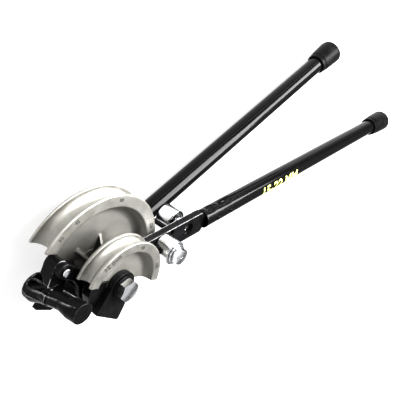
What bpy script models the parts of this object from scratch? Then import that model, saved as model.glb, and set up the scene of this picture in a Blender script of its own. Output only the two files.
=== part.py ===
"""Two-size manual tube bender, lying flat on a bench.

Frame: metres, +Z up.  The origin is where the pivot bolt's end face meets the bench.  The pivot axis is +Z,
+X runs along the flat sides of the two formers and +Y points over their arcs.
Lengths below are in millimetres and are turned into metres by the helpers.
"""
import math

import bmesh
import bpy
from mathutils import Matrix, Vector
from mathutils.geometry import convex_hull_2d

MM = 0.001
GAP = 0.3                 # clearance left between touching pieces
THROUGH = (-20.0, 130.0)  # a drill this long passes the whole tool

# ---- driving dimensions (mm, degrees) ----
ROUND_STEPS = 32          # facets on an ordinary turned piece
ARC_STEPS = 72            # facets on a former's full circle
HANDLE_STEPS = 24         # facets on a handle tube

LEVER_ANGLE = 22.7        # moving handle, measured from +X
FIXED_ANGLE = 42.65       # fixed handle, measured from +X
FIXED_OFFSET = -37.1      # the fixed handle's axis passes this far to the right of the pivot
TUBE_R = 12.5             # handle tubes, 25 x 1.5 mm
TUBE_BORE_R = 11.0

BLADE_Z = (62.0, 72.0)    # lever blade, which runs between the formers
LEVER_Z = 67.0            # axis of the moving handle
FIXED_Z = 15.0            # axis of the fixed handle
BLADE_HALF = 15.0
BLADE_HUB_R = 20.0
BLADE_END = 165.5         # the blade narrows into its tang here
TANG_HALF = 9.0
LEVER_TANG_END = 240.0
LEVER_TUBE = (171.0, 700.0)
FIXED_TUBE = (38.0, 541.0)
FIXED_TANG = (12.0, 112.0)

CAP_LIP_R = 15.6          # the caps flare from their mouths to their ends
CAP_R = (16.4, 18.4)
CAP_LIP = 7.0
CAP_CORNER = 3.5
CAP_END_WALL = 5.0
FIXED_CAP_LENGTH = 44.5
LEVER_CAP_LENGTH = 51.0
RIVET_R = 3.0
RIVET_REACH = 13.5        # half the length of a handle rivet
RIVETS_AT = (22.0, 50.0)  # distance of a handle's rivets from its mouth

BIG = {"r_out": 93.5, "r_in": 78.0, "r_web": 64.5, "r_back": 76.0, "groove_r": 11.2, "r_tube": 91.0,
       "z": (28.0, 57.0), "web": (35.3, 43.0), "hub_top": 57.0, "chamfer": 1.0}
SMALL = {"r_out": 57.3, "r_in": 45.3, "r_web": 37.0, "r_back": 43.0, "groove_r": 7.7, "r_tube": 55.5,
         "z": (77.0, 101.0), "web": (84.0, 90.0), "hub_top": 90.0, "chamfer": 1.0}
FLAT_Y = 4.5              # the formers' straight sides lie this far above the pivot axis
HOOK_CUT_Y = 23.0         # the large former's rim stops here on the hook side
HUB_R = 18.0
BUSH_R = 11.0
DOWELS = ((-10.5, 9.0), (10.5, 9.0))       # they key the formers to the frame's legs
DOWEL_R = 2.5
DOWELS_22_Z = (30.8, 40.7)
DOWELS_15_Z = (86.3, 93.7)
YOKE_DOWELS = ((-16.0, -31.0), (6.0, -34.0))
YOKE_DOWELS_Z = (80.3, 94.7)
RIB_ANGLES = (35.0, 92.0, 150.0)
RIB_HALF = 1.6
RIB_REACH = 37.0

BOLT_R = 8.0              # M16 pivot bolt
BOLT_HEAD_AF = 24.0
BOLT_HEAD_Z = (100.3, 110.0)
BORE_R = BOLT_R + GAP
WASHER_R = 15.0
NUT_Z = (7.0, 23.0)
LEG_REAR_Z = (27.0, 35.0)
LEG_FRONT_Z = (90.3, 98.0)
LEG_R = 18.0

# outlines seen along the pivot axis
REAR_TOE = [(-27, -34), (-27, -53), (-46, -56), (-48, -63), (-24, -67), (16, -46)]
FRONT_TOE = [(-27, -34), (16, -46), (18, -26)]
BRIDGE = [(-27, -34), (-24, -24), (14, -24), (16, -46)]
YOKE_Z = (77.5, 90.0)     # solid part of the bridge beside the small former's hub
YOKE_LEFT = [(-42, 3.9), (-40, -14), (-27, -34)]
HOOK_ARM = [(-66, 16.9), (-48, 11), (-32, 1), (-24, -9), (-20, -26), (-26, -33), (-36, -14), (-48, -5),
            (-66, -0.9)]
HEEL = [(-4, -46), (16, -46), (47, -22), (34, -1), (16, -10), (-2, -22)]
NUT_ROOM_R = 17.0

ROLLER_15_AT = 90.0       # roller axles, measured along the lever from the pivot
ROLLER_22_AT = 139.5
ROLLER_15 = {"r": 15.7, "z": (73.0, 95.0), "r_washer": 13.0, "washer": (95.4, 97.8),
             "head": (98.2, 105.7)}
ROLLER_22 = {"r": 15.5, "z": (28.4, 50.4), "bush": (34.2, 48.0), "r_recess": 12.0, "recess": 2.0,
             "r_washer": 10.5, "washer": (32.0, 33.6), "screw": (31.0, 60.0),
             "r_head": 6.5, "head": (28.8, 31.7)}
ROLLER_CHAMFER = 1.2
AXLE_22 = ((6.0, 33.9), (6.0, 50.8), (8.0, 50.8), (8.0, 58.6), (12.0, 58.6), (12.0, 61.7), (8.7, 61.7),
           (8.7, 67.0))   # radius and z up the rear roller's turned axle
GUIDE_PIN_AT = (107.5, 10.5)               # a plain pin behind the blade
GUIDE_PIN_R = 3.2
GUIDE_PIN_Z = (40.0, 67.5)
SCREW_R = 3.0
AXLE_R = 6.0
ROLLER_BUSH_R = 8.0
ROLLER_BORE_R = ROLLER_BUSH_R + GAP
AXLE_HEAD_AF = 19.0

HOOK_PIN = (-66.0, 8.0)   # hook hinge, parallel to the pivot
HOOK_PIN_R = 4.0
HOOK_EAR_R = 9.0
HOOK_SECTIONS = ((-59.0, -32.0, 16.5, 28.5), (-59.0, -31.5, 17.0, 38.0), (-58.5, -28.0, 15.0, 50.0),
                 (-58.0, -26.0, 13.5, 62.0), (-57.0, -24.5, 12.0, 76.0), (-55.5, -25.5, 13.2, 88.0),
                 (-54.0, -25.0, 13.0, 101.0))      # x, y, radius and z up the hook casting
HOOK_ARM_Z = (61.3, 69.0)                  # frame arm that carries the hook's pin
HOOK_EAR_Z = (43.6, 61.0)                  # the hook's ear turns under the arm
HOOK_ROOT = (-60.0, -26.0, 14.0)
HOOK_PIN_HEAD = (4.9, 3.2)                # radius and height
STOP_SCREW = (-42.0, -0.5)                # it hangs under the arm beside the hook
STOP_SHANK_Z = (60.0, 66.0)
STOP_HEAD_Z = (50.0, 61.0)
STOP_HEAD_AF = 9.0
HOOK_SWING_22 = 95.0      # the hook swings this far out to hold a 22 mm tube
HOOK_SWING_15 = 25.0      # and this far for a 15 mm tube

STEEL_ZINC = ("zinc_steel", (0.78, 0.79, 0.81), 0.22, 1.0)
ALUMINIUM = ("cast_aluminium", (0.66, 0.65, 0.62), 0.5, 1.0)
BLACK_PAINT = ("black_paint", (0.012, 0.012, 0.013), 0.18, 0.0)
BLACK_CAST = ("black_casting", (0.02, 0.02, 0.021), 0.35, 0.0)
RUBBER = ("black_rubber", (0.02, 0.02, 0.02), 0.55, 0.0)
BRONZE = ("bronze", (0.62, 0.43, 0.2), 0.35, 1.0)
NYLON = ("nylon", (0.75, 0.73, 0.66), 0.5, 0.0)


# ---- helpers ----
def clear_scene():
    for obj in list(bpy.data.objects):
        bpy.data.objects.remove(obj, do_unlink=True)


def material_for(obj, finish):
    name, colour, roughness, metallic = finish
    mat = bpy.data.materials.new(f"{obj.name}_{name}")
    mat.use_nodes = True
    shader = mat.node_tree.nodes["Principled BSDF"]
    shader.inputs["Base Color"].default_value = (*colour, 1.0)
    shader.inputs["Roughness"].default_value = roughness
    shader.inputs["Metallic"].default_value = metallic
    obj.data.materials.clear()
    obj.data.materials.append(mat)


def add_mesh(name, bm, smooth_angle=35.0):
    bmesh.ops.recalc_face_normals(bm, faces=bm.faces)
    bmesh.ops.scale(bm, vec=(MM, MM, MM), verts=bm.verts)
    mesh = bpy.data.meshes.new(name)
    bm.to_mesh(mesh)
    bm.free()
    mesh.shade_smooth()
    mesh.set_sharp_from_angle(angle=math.radians(smooth_angle))
    obj = bpy.data.objects.new(name, mesh)
    bpy.context.scene.collection.objects.link(obj)
    return obj


def cutter(obj):
    obj.hide_render = True
    obj.display_type = "WIRE"
    return obj


def boolean(target, tool, operation):
    modifier = target.modifiers.new(operation.lower(), "BOOLEAN")
    modifier.operation = operation
    modifier.solver = "EXACT"
    modifier.object = tool
    bpy.context.view_layer.update()
    evaluated = target.evaluated_get(bpy.context.evaluated_depsgraph_get())
    mesh = bpy.data.meshes.new_from_object(evaluated)
    target.modifiers.clear()
    target.data = mesh
    bpy.data.objects.remove(tool, do_unlink=True)


def cut(target, *tools):
    for tool in tools:
        boolean(target, cutter(tool), "DIFFERENCE")


def join(target, *tools):
    for tool in tools:
        boolean(target, tool, "UNION")


def finish(obj, material, smooth_angle=35.0):
    obj.data.shade_smooth()
    obj.data.set_sharp_from_angle(angle=math.radians(smooth_angle))
    material_for(obj, material)
    return obj


def arc(cx, cy, radius, start, end, steps):
    """Points on an arc, angles in degrees."""
    points = []
    for i in range(steps + 1):
        angle = math.radians(start + (end - start) * i / steps)
        points.append((cx + radius * math.cos(angle), cy + radius * math.sin(angle)))
    return points


def prism(name, outline, z0, z1):
    """A closed outline in X and Y, extruded from z0 to z1."""
    bm = bmesh.new()
    face = bm.faces.new([bm.verts.new((x, y, z0)) for x, y in outline])
    extruded = bmesh.ops.extrude_face_region(bm, geom=[face])
    moved = [item for item in extruded["geom"] if isinstance(item, bmesh.types.BMVert)]
    bmesh.ops.translate(bm, vec=(0, 0, z1 - z0), verts=moved)
    return add_mesh(name, bm)


def box(name, x0, x1, y0, y1, z0, z1):
    return prism(name, [(x0, y0), (x1, y0), (x1, y1), (x0, y1)], z0, z1)


def lathe(name, profile, steps=ROUND_STEPS, centre=(0.0, 0.0)):
    """A closed ring profile of (radius, z) turned about a vertical axis through centre."""
    bm = bmesh.new()
    rings = []
    for i in range(steps):
        angle = 2 * math.pi * i / steps
        rings.append([bm.verts.new((centre[0] + r * math.cos(angle), centre[1] + r * math.sin(angle), z))
                      for r, z in profile])
    count = len(profile)
    for i in range(steps):
        here, there = rings[i], rings[(i + 1) % steps]
        for j in range(count):
            k = (j + 1) % count
            bm.faces.new((here[j], there[j], there[k], here[k]))
    return add_mesh(name, bm)


def disc(name, radius, z0, z1, centre=(0.0, 0.0), steps=ROUND_STEPS, chamfer=0.0):
    """A solid round bar, with an optional chamfer on both ends."""
    bm = bmesh.new()
    levels = [(radius, z0), (radius, z1)]
    if chamfer:
        levels = [(radius - chamfer, z0), (radius, z0 + chamfer),
                  (radius, z1 - chamfer), (radius - chamfer, z1)]
    rings = []
    for r, z in levels:
        rings.append([bm.verts.new((x, y, z)) for x, y in arc(*centre, r, 0, 360, steps)[:-1]])
    for low, high in zip(rings, rings[1:]):
        for i in range(steps):
            k = (i + 1) % steps
            bm.faces.new((low[i], low[k], high[k], high[i]))
    bm.faces.new(reversed(rings[0]))
    bm.faces.new(rings[-1])
    return add_mesh(name, bm)


def ring(name, r_in, r_out, z0, z1, centre=(0.0, 0.0), steps=ROUND_STEPS, chamfer=0.0):
    """A washer, bush or roller: a round sleeve with optional outer chamfers."""
    outer = [(r_out, z0), (r_out, z1)]
    if chamfer:
        outer = [(r_out - chamfer, z0), (r_out, z0 + chamfer), (r_out, z1 - chamfer), (r_out - chamfer, z1)]
    return lathe(name, outer + [(r_in, z1), (r_in, z0)], steps, centre)


def hexagon(name, across_flats, z0, z1, centre=(0.0, 0.0), turn=0.0):
    radius = across_flats / math.sqrt(3.0)
    return prism(name, arc(*centre, radius, turn, turn + 360, 6)[:-1], z0, z1)


def place(obj, angle, offset, z, along=0.0):
    """Turn a part made along +X at the origin and set it beside the pivot axis."""
    turn = Matrix.Rotation(math.radians(angle), 4, "Z")
    start = turn @ Vector((along * MM, offset * MM, z * MM))
    obj.data.transform(Matrix.Translation(start) @ turn)
    return obj


def turned_along_x(name, profile, steps):
    """A closed ring profile of (radius, x) turned about the X axis."""
    obj = lathe(name, profile, steps)
    obj.data.transform(Matrix.Rotation(math.radians(90.0), 4, "Y"))
    return obj


def hinge_origin(obj, x, y, z):
    """Put the object's origin on its joint axis without moving its shape."""
    point = Vector((x * MM, y * MM, z * MM))
    obj.data.transform(Matrix.Translation(-point))
    obj.location = point
    return obj


def along_lever(distance, side=0.0):
    angle = math.radians(LEVER_ANGLE)
    return (distance * math.cos(angle) - side * math.sin(angle),
            distance * math.sin(angle) + side * math.cos(angle))


# ---- formers ----
def former_profile(size):
    """Rim, groove and web of a former as one closed (radius, z) outline."""
    z0, z1 = size["z"]
    web0, web1 = size["web"]
    middle = (z0 + z1) / 2
    groove, groove_centre = size["groove_r"], size["r_tube"]
    chamfer = size["chamfer"]
    points = [(size["r_out"] - chamfer, z0), (size["r_out"], z0 + chamfer)]
    points.append((size["r_out"], middle - groove))
    points += [(r, z) for z, r in arc(middle, groove_centre, groove, 180, 360, 10)]
    points.append((size["r_out"], middle + groove))
    points += [(size["r_out"], z1 - chamfer), (size["r_out"] - chamfer, z1), (size["r_in"], z1)]
    depth = z1 - web1
    width = size["r_in"] - size["r_web"]
    for i in range(1, 5):
        angle = math.radians(90 * i / 4)
        points.append((size["r_in"] - width * (1 - math.cos(angle)), z1 - depth * math.sin(angle)))
    inside = HUB_R - 4
    points += [(inside, web1), (inside, web0), (size["r_back"] - 8, web0), (size["r_back"], z0)]
    return points


def rib(size, angle):
    """A triangular gusset from the hub's top down to the web."""
    web, top = size["web"][1] - 0.5, size["hub_top"] - 1.5
    inner = HUB_R - 3
    outline = [(inner, web), (RIB_REACH, web), (HUB_R + 2, top), (inner, top)]
    obj = prism("rib", outline, -RIB_HALF, RIB_HALF)
    obj.data.transform(Matrix.Rotation(math.radians(90.0), 4, "X"))
    obj.data.transform(Matrix.Rotation(math.radians(angle), 4, "Z"))
    return obj


def make_former(name, size, hub_z):
    wide = size["r_out"] + 10
    z0, z1 = size["z"]
    former = lathe(name, former_profile(size), ARC_STEPS)
    cut(former, box("flat", -wide, wide, -wide, FLAT_Y, z0 - 5, z1 + 5))
    join(former, disc("hub", HUB_R, *hub_z))
    return former


def make_formers():
    big = make_former("former_22", BIG, (BIG["web"][0], BIG["hub_top"]))
    join(big, *[rib(BIG, angle) for angle in RIB_ANGLES])
    reach = BIG["r_out"] + 5
    cut(big,
        box("hook_room", -reach, -BIG["r_web"] + 1.0, -5, HOOK_CUT_Y, BIG["z"][0] - 1, BIG["z"][1] + 1),
        disc("bore", BORE_R, *THROUGH))
    small = make_former("former_15", SMALL, (SMALL["z"][0], SMALL["hub_top"]))
    cut(small, disc("bore", BORE_R, *THROUGH))
    dowel_holes(big, DOWELS, DOWELS_22_Z)
    dowel_holes(small, DOWELS, DOWELS_15_Z)
    finish(big, ALUMINIUM)
    finish(small, ALUMINIUM)
    make_dowels("former_22_dowel", DOWELS, DOWELS_22_Z)
    make_dowels("former_15_dowel", DOWELS, DOWELS_15_Z)


def dowel_holes(target, points, span):
    for point in points:
        cut(target, disc("hole", DOWEL_R + GAP, span[0] - GAP, span[1] + GAP, point, 16))


def make_dowels(name, points, span):
    for number, point in enumerate(points, 1):
        finish(disc(f"{name}_{number}", DOWEL_R, *span, point, 16, 0.4), STEEL_ZINC)


# ---- frame ----
def leg_outline(corners):
    """A leg with a round top about the pivot and straight lower edges through the given corners."""
    return arc(0, 0, LEG_R, -8, 188, 18) + corners


def make_frame():
    rear = prism("frame_rear_leg", leg_outline(REAR_TOE), *LEG_REAR_Z)
    bridge = prism("bridge", BRIDGE, LEG_REAR_Z[1] - 1, LEG_FRONT_Z[0] - GAP)
    hub_side = arc(0, 0, HUB_R + 2 * GAP, 168, 300, 12)
    yoke = prism("yoke", YOKE_LEFT + BRIDGE[:-3:-1] + hub_side[::-1], *YOKE_Z)
    arm = prism("arm", HOOK_ARM, *HOOK_ARM_Z)
    boss = disc("boss", HOOK_EAR_R, *HOOK_ARM_Z, HOOK_PIN, 24)
    heel = prism("heel", HEEL, 0, LEG_REAR_Z[0] + 1)
    tang = box("tang", *FIXED_TANG, -TANG_HALF, TANG_HALF, -5, 5)
    join(rear, bridge, yoke, boss, arm, heel, place(tang, FIXED_ANGLE, FIXED_OFFSET, FIXED_Z))
    cut(rear,
        disc("bore", BORE_R, *THROUGH),
        disc("nut_room", NUT_ROOM_R, THROUGH[0], LEG_REAR_Z[0]),
        disc("hook_bore", HOOK_PIN_R + GAP, *THROUGH, HOOK_PIN, 24),
        disc("stop_bore", SCREW_R + GAP, THROUGH[0], STOP_SHANK_Z[1] + GAP, STOP_SCREW, 16))
    dowel_holes(rear, DOWELS, DOWELS_22_Z)
    dowel_holes(rear, YOKE_DOWELS, YOKE_DOWELS_Z)
    finish(rear, BLACK_CAST)

    front = prism("frame_front_leg", leg_outline(FRONT_TOE), *LEG_FRONT_Z)
    cut(front, disc("bore", BORE_R, *THROUGH))
    dowel_holes(front, YOKE_DOWELS, YOKE_DOWELS_Z)
    dowel_holes(front, DOWELS, DOWELS_15_Z)
    finish(front, BLACK_CAST)
    make_dowels("front_leg_dowel", YOKE_DOWELS, YOKE_DOWELS_Z)


def make_pivot():
    bolt = disc("pivot_bolt", BOLT_R, 0, BOLT_HEAD_Z[0] + 0.5, chamfer=1.0)
    head = hexagon("head", BOLT_HEAD_AF, *BOLT_HEAD_Z, turn=30.0)
    join(bolt, head)
    finish(bolt, STEEL_ZINC)
    nut = hexagon("pivot_nut", BOLT_HEAD_AF, *NUT_Z, turn=30.0)
    cut(nut, disc("bore", BORE_R, *THROUGH))
    finish(nut, STEEL_ZINC)
    washers = {"pivot_rear_washer": (NUT_Z[1] + GAP, LEG_REAR_Z[0] - GAP, WASHER_R, STEEL_ZINC),
               "pivot_front_washer": (LEG_FRONT_Z[1] + GAP, BOLT_HEAD_Z[0] - GAP, WASHER_R, BLACK_CAST),
               "thrust_washer_lower": (BIG["z"][1] + GAP, BLADE_Z[0] - GAP, HUB_R, NYLON),
               "thrust_washer_upper": (BLADE_Z[1] + GAP, SMALL["z"][0] - GAP, HUB_R, NYLON)}
    for name, (z0, z1, radius, metal) in washers.items():
        finish(ring(name, BORE_R, radius, z0, z1), metal)
    bush = ring("pivot_bush", BORE_R, BUSH_R, BLADE_Z[0], BLADE_Z[1])
    finish(bush, BRONZE)


# ---- handles ----
def cross_pin(name, radius, along, where, chamfer=0.0):
    """A round pin through a handle's axis: where is the handle's (angle, offset, z, roll)."""
    angle, offset, z, roll = where
    pin = disc(name, radius, -RIVET_REACH, RIVET_REACH, steps=12, chamfer=chamfer)
    pin.data.transform(Matrix.Translation((along * MM, 0, 0)) @ Matrix.Rotation(math.radians(roll), 4, "X"))
    return place(pin, angle, offset, z)


def rivet_holes(target, span, where):
    for along in RIVETS_AT:
        cut(target, cross_pin("hole", RIVET_R + GAP, span[0] + along, where))


def handle_tube(name, span, where):
    profile = [(TUBE_R, span[0]), (TUBE_R, span[1]), (TUBE_BORE_R, span[1]), (TUBE_BORE_R, span[0])]
    tube = place(turned_along_x(name, profile, HANDLE_STEPS), *where[:3])
    rivet_holes(tube, span, where)
    return finish(tube, BLACK_PAINT)


def handle_cap(name, tube_end, length, where):
    """A moulded end cap: a cup over the tube with a lip at its mouth, flaring to a rounded end."""
    inner = TUBE_R + GAP
    end = tube_end + GAP + CAP_END_WALL
    mouth = end - length
    outer = [(CAP_LIP_R, mouth), (CAP_LIP_R, mouth + CAP_LIP), (CAP_R[0], mouth + CAP_LIP + 1)]
    outer += [(r, x) for x, r in arc(end - CAP_CORNER, CAP_R[1] - CAP_CORNER, CAP_CORNER, 90, 0, 4)]
    bm = bmesh.new()
    levels = [(inner, tube_end + GAP), (inner, mouth)] + outer
    rings = []
    for r, x in levels:
        rings.append([bm.verts.new((x, a, b)) for a, b in arc(0, 0, r, 0, 360, HANDLE_STEPS)[:-1]])
    for low, high in zip(rings, rings[1:]):
        for i in range(HANDLE_STEPS):
            k = (i + 1) % HANDLE_STEPS
            bm.faces.new((low[i], low[k], high[k], high[i]))
    bm.faces.new(rings[0])
    bm.faces.new(rings[-1])
    return place(add_mesh(name, bm), *where[:3])


def handle_rivets(name, span, where):
    return [finish(cross_pin(f"{name}_{number}", RIVET_R, span[0] + along, where, 0.8), STEEL_ZINC)
            for number, along in enumerate(RIVETS_AT, 1)]


def make_fixed_handle():
    where = (FIXED_ANGLE, FIXED_OFFSET, FIXED_Z, 90.0)
    handle_tube("fixed_handle_tube", FIXED_TUBE, where)
    cap = handle_cap("fixed_handle_cap", FIXED_TUBE[1], FIXED_CAP_LENGTH, where)
    reach = FIXED_TUBE[1] + LEVER_CAP_LENGTH
    cut(cap, box("bench", 0, reach, 0, reach, -20, 0))
    finish(cap, RUBBER)
    handle_rivets("fixed_handle_rivet", FIXED_TUBE, where)
    frame = bpy.data.objects["frame_rear_leg"]
    rivet_holes(frame, FIXED_TUBE, where)
    finish(frame, BLACK_CAST)


def make_lever():
    """The forged blade, its handle and the empty that marks the lever's joint."""
    half, hub = BLADE_HALF, BLADE_HUB_R
    touch = math.degrees(math.asin(half / hub))
    outline = arc(0, 0, hub, touch, 360 - touch, 24)
    outline += [(BLADE_END, -half), (BLADE_END + 5, -TANG_HALF), (LEVER_TANG_END, -TANG_HALF),
                (LEVER_TANG_END, TANG_HALF), (BLADE_END + 5, TANG_HALF), (BLADE_END, half)]
    blade = prism("lever_blade", outline, *BLADE_Z)
    cut(blade,
        disc("bore", BUSH_R + GAP, *THROUGH),
        disc("axle_15", AXLE_R + GAP, *THROUGH, (ROLLER_15_AT, 0), 24),
        disc("axle_22", AXLE_22[-1][0] + GAP, *THROUGH, (ROLLER_22_AT, 0)),
        disc("guide_pin", GUIDE_PIN_R + GAP, THROUGH[0], GUIDE_PIN_Z[1] + GAP, GUIDE_PIN_AT, 16))
    where = (LEVER_ANGLE, 0.0, LEVER_Z, 0.0)
    place(blade, LEVER_ANGLE, 0.0, 0.0)
    rivet_holes(blade, LEVER_TUBE, where)
    finish(blade, BLACK_PAINT)
    tube = handle_tube("lever_handle_tube", LEVER_TUBE, where)
    cap = finish(handle_cap("lever_handle_cap", LEVER_TUBE[1], LEVER_CAP_LENGTH, where), RUBBER)
    rivets = handle_rivets("lever_handle_rivet", LEVER_TUBE, where)
    pin = disc("lever_guide_pin", GUIDE_PIN_R, *GUIDE_PIN_Z, along_lever(*GUIDE_PIN_AT), 16, 0.6)
    rivets.append(finish(pin, BLACK_PAINT))
    return [blade, tube, cap] + rivets


# ---- rollers ----
def make_front_roller():
    """A plain roller on its pressed-in bush, turning on a shouldered bolt screwed into the blade."""
    size, centre = ROLLER_15, along_lever(ROLLER_15_AT)
    z0, z1 = size["z"]
    roller = ring("roller_15", ROLLER_BORE_R, size["r"], z0, z1, centre, chamfer=ROLLER_CHAMFER)
    finish(roller, STEEL_ZINC)
    bush = finish(ring("roller_15_bush", AXLE_R + GAP, ROLLER_BUSH_R, z0, z1, centre, 24), BRONZE)
    washer = ring("roller_15_washer", AXLE_R + GAP, size["r_washer"], *size["washer"], centre)
    finish(washer, STEEL_ZINC)
    head_z = size["head"]
    bolt = disc("roller_15_bolt", AXLE_R, BLADE_Z[0] + 1, head_z[0] + 0.5, centre, 24, 0.8)
    join(bolt, hexagon("head", AXLE_HEAD_AF, *head_z, centre, LEVER_ANGLE + 30.0))
    finish(bolt, STEEL_ZINC)
    return [roller, bush], [washer, bolt], centre


def make_rear_roller():
    """A roller on a turned axle that is pressed into the blade, kept on by a washer and a screw."""
    size, centre = ROLLER_22, along_lever(ROLLER_22_AT)
    z0, z1 = size["z"]
    bush_z = size["bush"]
    radius, recess = size["r"], size["r_recess"]
    top = z1 - size["recess"]
    outline = [(radius - ROLLER_CHAMFER, z0), (radius, z0 + ROLLER_CHAMFER), (radius, z1 - ROLLER_CHAMFER),
               (radius - ROLLER_CHAMFER, z1), (recess, z1), (recess, top), (ROLLER_BORE_R, top),
               (ROLLER_BORE_R, bush_z[0]), (recess, bush_z[0]), (recess, z0)]
    roller = finish(lathe("roller_22", outline, ROUND_STEPS, centre), STEEL_ZINC)
    bush = finish(ring("roller_22_bush", AXLE_R + GAP, ROLLER_BUSH_R, *bush_z, centre, 24), BRONZE)
    bore = [(SCREW_R + GAP, AXLE_22[0][1]), *AXLE_22, (SCREW_R + GAP, AXLE_22[-1][1])]
    axle = finish(lathe("roller_22_axle", bore, ROUND_STEPS, centre), STEEL_ZINC)
    washer = ring("roller_22_washer", SCREW_R + GAP, size["r_washer"], *size["washer"], centre)
    finish(washer, STEEL_ZINC)
    screw = disc("roller_22_screw", SCREW_R, *size["screw"], centre, 16, 0.5)
    join(screw, disc("head", size["r_head"], *size["head"], centre, 24, 0.5))
    finish(screw, STEEL_ZINC)
    return [roller, bush], [axle, washer, screw], centre


# ---- tube hook ----
def hull_outline(circles, steps=20):
    """The outline of a band stretched round circles given as (x, y, radius)."""
    points = []
    for x, y, radius in circles:
        points += arc(x, y, radius, 0, 360, steps)[:-1]
    order = convex_hull_2d(points)
    return [points[i] for i in order]


def loft_circles(name, sections, steps=28):
    """A solid that runs through level circles given as (x, y, radius, z)."""
    bm = bmesh.new()
    rings = []
    for x, y, radius, z in sections:
        rings.append([bm.verts.new((a, b, z)) for a, b in arc(x, y, radius, 0, 360, steps)[:-1]])
    for low, high in zip(rings, rings[1:]):
        for i in range(steps):
            k = (i + 1) % steps
            bm.faces.new((low[i], low[k], high[k], high[i]))
    bm.faces.new(rings[0])
    bm.faces.new(rings[-1])
    return add_mesh(name, bm)


def tube_cutter(name, size, swing, y0, y1):
    """The room a tube's tail takes, turned back from where the hook holds it."""
    z = sum(size["z"]) / 2
    tube = disc(name, size["groove_r"], y0, y1, steps=24)
    tube.data.transform(Matrix.Rotation(math.radians(-90.0), 4, "X"))
    tube.data.transform(Matrix.Translation((-size["r_tube"] * MM, 0, z * MM)))
    pin = Vector((HOOK_PIN[0] * MM, HOOK_PIN[1] * MM, 0))
    back = Matrix.Translation(pin) @ Matrix.Rotation(math.radians(swing), 4, "Z") @ Matrix.Translation(-pin)
    tube.data.transform(back)
    return tube


def make_hook():
    hook = loft_circles("tube_hook", HOOK_SECTIONS)
    x, y = HOOK_PIN
    join(hook, prism("ear", hull_outline([(x, y, HOOK_EAR_R), HOOK_ROOT]), *HOOK_EAR_Z))
    cut(hook,
        disc("bore", HOOK_PIN_R + GAP, *THROUGH, HOOK_PIN, 24),
        tube_cutter("saddle_22", BIG, HOOK_SWING_22, -90, 60),
        tube_cutter("saddle_15", SMALL, HOOK_SWING_15, -90, 60))
    finish(hook, BLACK_CAST)
    hinge_origin(hook, x, y, 0)
    z0, z1 = HOOK_EAR_Z[0], HOOK_ARM_Z[1]
    pin = disc("hook_pin", HOOK_PIN_R, z0, z1 + 0.5, HOOK_PIN, 24, 0.3)
    head_r, head_height = HOOK_PIN_HEAD
    join(pin, disc("head", head_r, z1 + GAP, z1 + GAP + head_height, HOOK_PIN, 24, 0.5))
    finish(pin, STEEL_ZINC)
    screw = disc("hook_stop_screw", SCREW_R, *STOP_SHANK_Z, STOP_SCREW, 16, 0.5)
    join(screw, hexagon("head", STOP_HEAD_AF, *STOP_HEAD_Z, STOP_SCREW))
    finish(screw, BLACK_CAST)


def parent_to(name, point, children):
    """An empty on a joint's axis that carries the pieces which turn about it."""
    empty = bpy.data.objects.new(name, None)
    bpy.context.scene.collection.objects.link(empty)
    empty.location = [value * MM for value in point]
    bpy.context.view_layer.update()
    for child in children:
        child.parent = empty
        child.matrix_parent_inverse = empty.matrix_world.inverted()
    return empty


def main():
    clear_scene()
    make_frame()
    make_formers()
    make_pivot()
    make_fixed_handle()
    lever_pieces = make_lever() + [bpy.data.objects["pivot_bush"]]
    for name, maker in (("roller_15_joint", make_front_roller), ("roller_22_joint", make_rear_roller)):
        turning, fixed, centre = maker()
        lever_pieces += fixed + [parent_to(name, (*centre, LEVER_Z), turning)]
    parent_to("lever_joint", (0, 0, LEVER_Z), lever_pieces)
    make_hook()


main()
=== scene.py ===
"""Looks of the two-size manual tube bender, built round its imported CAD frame.

Lengths in the helpers are millimetres in the CAD's own frame, and MM turns them into metres.
"""
import math

import bmesh
import bpy
from mathutils import Matrix, Vector


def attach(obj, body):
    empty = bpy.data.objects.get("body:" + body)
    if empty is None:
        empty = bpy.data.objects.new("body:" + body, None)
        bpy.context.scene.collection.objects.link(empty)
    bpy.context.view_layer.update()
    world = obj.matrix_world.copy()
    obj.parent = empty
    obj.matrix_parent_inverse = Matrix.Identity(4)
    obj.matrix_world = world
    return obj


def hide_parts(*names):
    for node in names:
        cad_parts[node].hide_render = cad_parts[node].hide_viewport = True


MM = 0.001
LEVER_ANGLE = 22.7
FIXED_ANGLE = 42.65
FIXED_OFFSET = -37.1
LEVER_Z = 67.0
FIXED_Z = 15.0
FLAT_Y = 4.5
ROLLER_15_AT = 90.0
ROLLER_22_AT = 139.5
GUIDE_PIN_AT = (107.5, 10.5)
LEVER_TUBE = (171.0, 700.0)
FIXED_TUBE = (38.0, 541.0)
TUBE_RADIUS = 12.5
TUBE_BORE = 11.0
PIVOT_HOLE = 8.3
HUB_RADIUS = 18.0
HOOK_PIN_AT = (-66.0, 8.0)
HOOK_STOP_AT = (-42.0, -0.5)
BLADE_Z = (62.0, 72.0)
BLADE_HALF = 15.0

CAMERA_AT = Vector((-0.535, 0.2782, 0.4507))
CAMERA_RIGHT = Vector((0.536, 0.3862, 0.7507))
CAMERA_UP = Vector((-0.0124, 0.8927, -0.4505))
CAMERA_LENS = 55.77


# ---- mesh helpers ----
def mesh_object(name, bm):
    bmesh.ops.remove_doubles(bm, verts=bm.verts, dist=0.002)
    bmesh.ops.recalc_face_normals(bm, faces=bm.faces)
    bmesh.ops.scale(bm, vec=(MM, MM, MM), verts=bm.verts)
    mesh = bpy.data.meshes.new(name)
    bm.to_mesh(mesh)
    bm.free()
    mesh.shade_smooth()
    obj = bpy.data.objects.new(name, mesh)
    bpy.context.scene.collection.objects.link(obj)
    return obj


def arc(cx, cy, radius, start, end, steps):
    points = []
    for i in range(steps + 1):
        angle = math.radians(start + (end - start) * i / steps)
        points.append((cx + radius * math.cos(angle), cy + radius * math.sin(angle)))
    return points


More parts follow.
